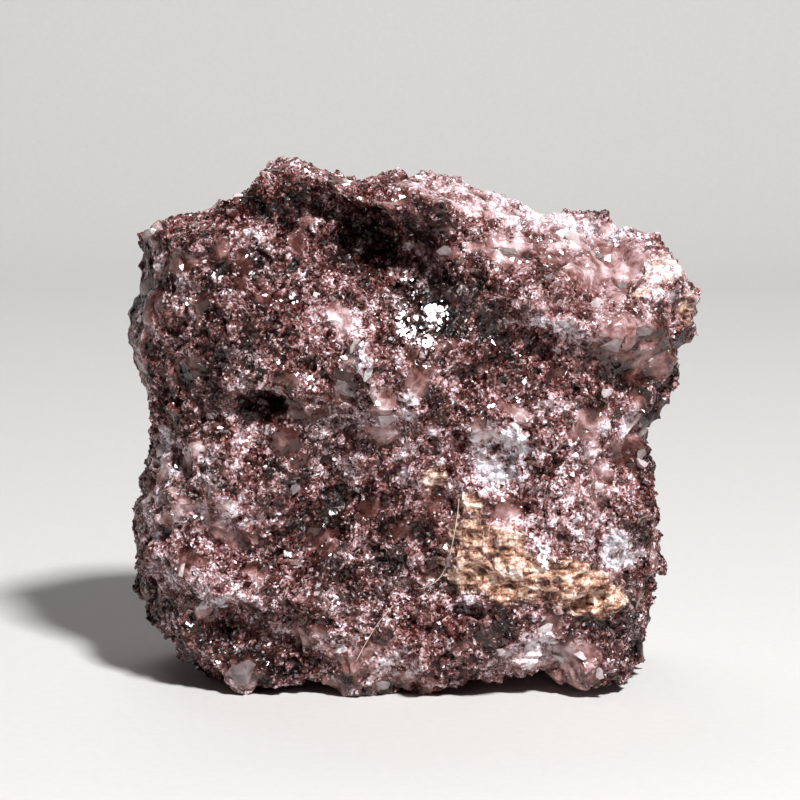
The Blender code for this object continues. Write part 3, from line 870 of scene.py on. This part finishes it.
def lint_fibre(name, path, tree, material):
    """One loose fibre: a thin round thread that lies along the stone."""
    spots = []
    path = np.array(path, float)
    for start, end in zip(path, path[1:]):
        for share in np.arange(0, 1, LINT_STEP):
            spot, _ = spot_on_stone(tree, *(start + (end - start) * share))
            if spot is not None:
                spots.append(spot + LINT_OFF_STONE)
    line = np.array(spots)
    for _ in range(LINT_SMOOTHING):
        line[1:-1] = 0.25 * line[:-2] + 0.5 * line[1:-1] + 0.25 * line[2:]
    ahead = unit(np.gradient(line, axis=0))
    side = unit(np.cross(ahead, LINT_ASIDE))
    over = np.cross(ahead, side)
    bm = bmesh.new()
    rings = []
    for place, one, other in zip(line, side, over):
        ring = []
        for step in range(LINT_SIDES):
            angle = 2 * math.pi * step / LINT_SIDES
            reach = LINT_THICKNESS / 2 * (one * math.cos(angle) + other * math.sin(angle))
            ring.append(bm.verts.new((place + reach) * MM))
        rings.append(ring)
    for near, far in zip(rings, rings[1:]):
        for step in range(LINT_SIDES):
            after = (step + 1) % LINT_SIDES
            bm.faces.new((near[step], near[after], far[after], far[step]))
    bm.faces.new(rings[0][::-1])
    bm.faces.new(rings[-1])
    bmesh.ops.recalc_face_normals(bm, faces=bm.faces[:])
    mesh = mesh_from(bm, name)
    mesh.shade_smooth()
    return mesh_piece(name, mesh, material)


def feed(tree, node, inputs):
    """Gives inputs their values. Each takes a value, an output, or a node, which gives its first output."""
    for name, value in inputs.items():
        if isinstance(value, bpy.types.Node):
            value = value.outputs[0]
        if isinstance(value, bpy.types.NodeSocket):
            tree.links.new(value, node.inputs[name])
        else:
            node.inputs[name].default_value = value


def put(tree, kind, inputs=None, stops=None, **settings):
    """Adds a node with its settings, its inputs and the stops of its colour ramp."""
    node = tree.nodes.new("ShaderNode" + kind)
    for name, value in settings.items():
        setattr(node, name, value)
    feed(tree, node, inputs or {})
    if stops:
        ramp = node.color_ramp
        while len(ramp.elements) < len(stops):
            ramp.elements.new(0.5)
        for element, (place, colour) in zip(ramp.elements, stops):
            element.position = place
            element.color = linear(colour)
    return node


# Colours by tone or cloudiness, from the darkest places to the palest.
LILAC_STOPS = (
    (0.05, "#140201"), (0.24, "#340e0a"), (0.40, "#592621"), (0.54, "#83524f"), (0.68, "#ac8386"),
    (0.82, "#cfb6bc"), (0.96, "#ebe5ed"),
)
RED_STOPS = (
    (0.05, "#110302"), (0.24, "#320d09"), (0.42, "#5c211b"), (0.58, "#894641"), (0.74, "#b7827f"),
    (0.96, "#e7d5d4"),
)
GREY_STOPS = (
    (0.05, "#0a0706"), (0.24, "#231a18"), (0.40, "#463a38"), (0.54, "#6f6264"), (0.68, "#9e9395"),
    (0.82, "#cbc2c7"), (0.96, "#ecebf0"),
)
RUST_STOPS = (
    (0.10, "#42261b"), (0.28, "#8b5d45"), (0.44, "#bd9078"), (0.58, "#dab69e"), (0.74, "#ead6c7"),
    (0.92, "#f6eeea"),
)
QUARTZ_STOPS = (
    (0.10, "#21100e"), (0.34, "#522f2b"), (0.55, "#8b6360"), (0.75, "#bb9b9c"), (0.95, "#e8dde0"),
)
CLEAR_STOPS = ((0.3, "#86706f"), (0.7, "#c6b8b8"))
MILKY_STOPS = ((0.3, "#b59fa0"), (0.7, "#e2d9da"))
LINT_STOPS = ((0.3, "#b9a59b"), (0.7, "#e6dcd3"))
CARD_STOPS = ((0.3, "#cdccca"), (0.7, "#d0cfcd"))

# The rust follows thin streaks: their turn, and how many to a metre along each axis. In the values for
# Map Range, 1 and 2 are the low and high ends of what comes in, and 3 and 4 those of what goes out.
STREAKS = {"Rotation": (0.0, 0.35, 0.0), "Scale": (450.0, 900.0, 1700.0)}
STREAK_NOISE = {"Scale": 1.0, "Detail": 4, "Roughness": 0.6}
STAINED = {1: 0.05, 2: 0.35}
STREAK_REACH = 3.4
RUST_SHOWS = {1: 1.85, 2: 2.85}
POWDER_TONE = 0.50
POWDER_STREAK = 1.7

# The noises of the other patterns, as lumps to a mm, and the size of their cells in mm.
WANDER = {"Scale": 1.1, "Detail": 3}
WANDER_MM = (1.3, 1.3, 1.3)
CLOUDS = {"Scale": 0.5, "Detail": 6, "Roughness": 0.66}
FINE = {"Scale": 3.4, "Detail": 3, "Roughness": 0.6}
LEAF_FINE = {"Scale": 4.2, "Detail": 2}
QUARTZ_CLOUD = {"Scale": 0.9, "Detail": 3}
QUARTZ_HAZE = {"Scale": 2.5, "Detail": 2}
BOOK_CELLS = 2.3
GRAIN_CELLS = 0.95
FLAKE_CELLS = 0.27
# How much each pattern changes the tone, and which few flakes are painted bright: pale mica specks with a
# painted glint.
CLOUD_TONE = 1.40
GRAIN_TONE = 0.42
FLAKE_TONE = 0.36
FINE_TONE = 1.05
LEAF_FINE_TONE = 0.6
PALE_MICA_AND_GLINT_FLAKE = {1: 0.90, 2: 0.93, 3: 0.0, 4: 0.40}
# Rusty stone is matt, quartz is smooth, and mica lies between the two.
CLEAN = {1: 0.2, 2: 0.7, 3: 1.0, 4: 0.25}
MICA_ROUGHNESS = {3: 0.22, 4: 0.55}
RUST_ROUGHNESS = {1: 0.25, 3: 0.80}
QUARTZ_ROUGHNESS = 0.14
LEAF_ROUGHNESS = {3: 0.16, 4: 0.46}
HAZE_ROUGHNESS = {3: 0.06, 4: 0.22}
ROUGH_BUMP = {"Strength": 0.6, "Distance": 0.10 * MM}
QUARTZ_BUMP = {"Strength": 0.3, "Distance": 0.10 * MM}
MIDDLE = (-0.5, -0.5, -0.5)


def stone_colour(tree, tone):
    """The stone's colour for a tone: lilac mica, redder or greyer in places, under rust where stained."""
    red, grey, rust = (
        put(tree, "Attribute", attribute_name=name).outputs["Fac"] for name in ("red", "grey", "rust")
    )
    place = put(tree, "TexCoord").outputs["Object"]
    streaks = put(tree, "Mapping", {"Vector": place, **STREAKS})
    streak = put(tree, "TexNoise", {"Vector": streaks, **STREAK_NOISE})
    stained = put(tree, "MapRange", {0: rust, **STAINED})
    rust = put(tree, "Math", {0: streak, 1: STREAK_REACH, 2: rust}, operation="MULTIPLY_ADD")
    rust = put(tree, "MapRange", {0: rust, **RUST_SHOWS, 4: stained})
    powder = add_up(tree, 0.50, ((tone, POWDER_TONE, 0.5), (streak, POWDER_STREAK, 0.5)))
    stone = put(tree, "ValToRGB", {0: tone}, LILAC_STOPS)
    layers = ((red, tone, RED_STOPS), (grey, tone, GREY_STOPS), (rust, powder, RUST_STOPS))
    for amount, level, stops in layers:
        other = put(tree, "ValToRGB", {0: level}, stops)
        stone = put(tree, "MixRGB", {"Fac": amount, "Color1": stone, "Color2": other})
    return stone


def new_material(name):
    material = bpy.data.materials.new(name)
    material.use_nodes = True
    tree = material.node_tree
    return material, tree, tree.nodes["Principled BSDF"]


def stone_place(tree):
    """A place on the stone in millimetres, and the same place strayed so that grains look broken."""
    place = put(tree, "TexCoord").outputs["Object"]
    mm = put(tree, "VectorMath", {0: place, 1: (1000, 1000, 1000)}, operation="MULTIPLY")
    wander = put(tree, "TexNoise", {"Vector": mm, **WANDER}).outputs["Color"]
    return mm, put(tree, "VectorMath", {0: wander, 1: WANDER_MM, 2: mm}, operation="MULTIPLY_ADD")


def add_up(tree, start, parts):
    """start plus each (value, factor, middle) as factor * (value - middle)."""
    total = start
    for value, factor, middle in parts:
        total = put(tree, "Math", {0: value, 1: factor, 2: total}, operation="MULTIPLY_ADD")
        total = put(tree, "Math", {0: total, 1: factor * middle}, operation="SUBTRACT")
    return total


def broken_lepidolite():
    """Fine-grained lepidolite rock: cloudy maroon to white grains, tiny tilted faces that catch the light,
    a few flakes painted white as glints, and smooth quartz.
    """
    material, tree, shader = new_material("broken_lepidolite")
    mm, strayed = stone_place(tree)
    books, flakes, grains = (
        put(tree, "TexVoronoi", {"Vector": strayed, "Scale": 1 / size}).outputs["Color"]
        for size in (BOOK_CELLS, FLAKE_CELLS, GRAIN_CELLS)
    )
    clouds = put(tree, "TexNoise", {"Vector": strayed, **CLOUDS})
    fine = put(tree, "TexNoise", {"Vector": mm, **FINE})
    flake = put(tree, "SeparateColor", {0: flakes}).outputs
    grain = put(tree, "SeparateColor", {0: grains})
    tone, glassy, rust = (
        put(tree, "Attribute", attribute_name=name).outputs["Fac"] for name in ("tone", "glassy", "rust")
    )
    mica = put(tree, "Math", {0: 1.0, 1: glassy}, operation="SUBTRACT")
    clean = put(tree, "MapRange", {0: rust, **CLEAN})
    mica = put(tree, "Math", {0: mica, 1: clean}, operation="MULTIPLY")

    # A few flakes are painted white: pale mica specks with a painted glint.
    pale_mica_and_glint = put(tree, "MapRange", {0: flake[1], **PALE_MICA_AND_GLINT_FLAKE})
    quiet = add_up(tree, tone, ((clouds, CLOUD_TONE, 0.5),))
    speckle = ((grain, GRAIN_TONE, 0.5), (flake[0], FLAKE_TONE, 0.5), (fine, FINE_TONE, 0.5))
    lepidolite = stone_colour(tree, add_up(tree, quiet, (*speckle, (pale_mica_and_glint, 1.0, 0.0))))
    smooth = put(tree, "ValToRGB", {0: quiet}, QUARTZ_STOPS)
    shine = put(tree, "MapRange", {0: flake[2], **MICA_ROUGHNESS})
    shine = put(tree, "MapRange", {0: clean, **RUST_ROUGHNESS, 4: shine})

    height = put(tree, "Math", {0: fine, 1: mica}, operation="MULTIPLY")
    book_tilt, flake_tilt = (
        put(tree, "VectorMath", {0: cells, 1: MIDDLE}, operation="ADD") for cells in (books, flakes)
    )
    tilt = put(tree, "VectorMath", {0: flake_tilt, 1: book_tilt}, operation="ADD")
    tilt = put(tree, "VectorMath", {0: tilt, "Scale": mica}, operation="SCALE")
    bump = put(tree, "Bump", {"Height": height, **ROUGH_BUMP})
    facing = put(tree, "VectorMath", {0: bump, 1: tilt}, operation="ADD")
    feed(tree, shader, {
        "Base Color": put(tree, "MixRGB", {"Fac": glassy, "Color1": lepidolite, "Color2": smooth}),
        "Roughness": put(tree, "MapRange", {0: glassy, 3: shine, 4: QUARTZ_ROUGHNESS}),
        "Normal": put(tree, "VectorMath", {0: facing}, operation="NORMALIZE"),
        "IOR": 1.55,
        "Subsurface Weight": 0.32,
        "Subsurface Radius": (1.0, 0.6, 0.6),
        "Subsurface Scale": 0.45 * MM,
    })
    return material


def mica_leaf():
    """Lepidolite scales: smooth cleavage faces with a pearly shine, each its own shade of lilac."""
    material, tree, shader = new_material("mica_leaf")
    mm, strayed = stone_place(tree)
    clouds = put(tree, "TexNoise", {"Vector": strayed, **CLOUDS})
    fine = put(tree, "TexNoise", {"Vector": mm, **LEAF_FINE})
    tone, leaf = (
        put(tree, "Attribute", attribute_name=name).outputs["Fac"] for name in ("tone", "leaf")
    )
    varied = add_up(tree, tone, ((clouds, CLOUD_TONE, 0.5), (fine, LEAF_FINE_TONE, 0.5)))
    feed(tree, shader, {
        "Base Color": stone_colour(tree, varied),
        "Roughness": put(tree, "MapRange", {0: leaf, **LEAF_ROUGHNESS}),
        "IOR": 1.56,
    })
    return material


def quartz(name, stops, clearness):
    """Quartz: smooth glassy breaks. Clear grains show the dark stone behind, milky ones glow pale."""
    material, tree, shader = new_material(name)
    mm, strayed = stone_place(tree)
    cloud = put(tree, "TexNoise", {"Vector": strayed, **QUARTZ_CLOUD})
    haze = put(tree, "TexNoise", {"Vector": mm, **QUARTZ_HAZE})
    feed(tree, shader, {
        "Base Color": put(tree, "ValToRGB", {0: cloud}, stops),
        "Roughness": put(tree, "MapRange", {0: haze, **HAZE_ROUGHNESS}),
        "Normal": put(tree, "Bump", {"Height": haze, **QUARTZ_BUMP}),
        "IOR": 1.544,
        "Transmission Weight": clearness,
    })
    return material


def fibrous(name, stops, noise, roughness):
    """Matt fibre: lint, a pale textile thread darker in places, or card, off-white and nearly even."""
    material, tree, shader = new_material(name)
    place = put(tree, "TexCoord").outputs["Object"]
    streak = put(tree, "TexNoise", {"Vector": place, **noise})
    feed(tree, shader, {"Base Color": put(tree, "ValToRGB", {0: streak}, stops), "Roughness": roughness})
    return material


def aimed(name, data, place):
    """Puts a lamp or a camera at a place in millimetres and aims it at the stone."""
    made = placed(name, data)
    made.location = Vector(place) * MM
    made.rotation_euler = (Vector(LOOK_AT) - Vector(place)).to_track_quat("-Z", "Y").to_euler()
    return made


def lamp(name, place, side, watts, colour="#ffffff"):
    data = bpy.data.lights.new(name, "AREA")
    data.shape = "SQUARE"
    data.size = side * MM
    data.energy = watts
    data.color = linear(colour)[:3]
    aimed(name, data, place)


def photo_camera():
    data = bpy.data.cameras.new("photo_camera")
    data.lens = LENS_MM
    data.sensor_width = SENSOR_MM
    data.clip_start = 0.01
    bpy.context.scene.camera = aimed("photo_camera", data, CAMERA_PLACE)


def studio():
    """A pale sweep of card, one key light high on the right and soft fill from the left and behind."""
    profile = [(-FLOOR_REACH, 0), (BEND_START, 0)]
    for step in range(1, BEND_STEPS + 1):
        angle = math.pi / 2 * step / BEND_STEPS
        ahead, rise = BEND_RADIUS * math.sin(angle), BEND_RADIUS * (1 - math.cos(angle))
        profile.append((BEND_START + ahead, rise))
    profile.append((BEND_START + BEND_RADIUS, CARD_TOP))
    bm = bmesh.new()
    sides = (-FLOOR_REACH, FLOOR_REACH)
    rows = [[bm.verts.new((x * MM, y * MM, z * MM)) for x in sides] for y, z in profile]
    for low, high in zip(rows, rows[1:]):
        face = bm.faces.new((low[0], low[1], high[1], high[0]))
        face.smooth = True
    mesh = mesh_from(bm, "card_sweep")
    mesh.materials.append(fibrous("pale_card", CARD_STOPS, {"Scale": 900, "Detail": 3}, 0.85))
    card = placed("card_sweep", mesh)

    for name, light in LAMPS.items():
        lamp(name, *light)
    world = bpy.data.worlds.new("studio_air")
    world.use_nodes = True
    air = world.node_tree.nodes["Background"]
    feed(world.node_tree, air, {"Color": linear(AIR_COLOUR), "Strength": AIR_STRENGTH})
    bpy.context.scene.world = world
    bpy.context.scene.view_settings.view_transform = "Standard"


rock = broken_rock(broken_lepidolite())
surface = BVHTree.FromObject(rock, bpy.context.evaluated_depsgraph_get())
leaf_material = mica_leaf()
for number in range(1, SCALE_PIECES + 1):
    mica_scales(number, rock, leaf_material)
flash_flakes(surface, leaf_material)
clear_quartz = quartz("clear_quartz", CLEAR_STOPS, 0.55)
milky_quartz = quartz("milky_quartz", MILKY_STOPS, 0.16)
quartz_grains("clear_quartz", surface, rock, CLEAR_QUARTZ, CLEAR_COUNT, CLEAR_RICH, clear_quartz)
quartz_grains("milky_quartz", surface, rock, MILKY_QUARTZ, MILKY_COUNT, MILKY_RICH, milky_quartz)
lint_material = fibrous("lint", LINT_STOPS, {"Scale": 700, "Detail": 2}, 0.6)
for name, path in LINT.items():
    lint_fibre(name, path, surface, lint_material)
studio()
photo_camera()
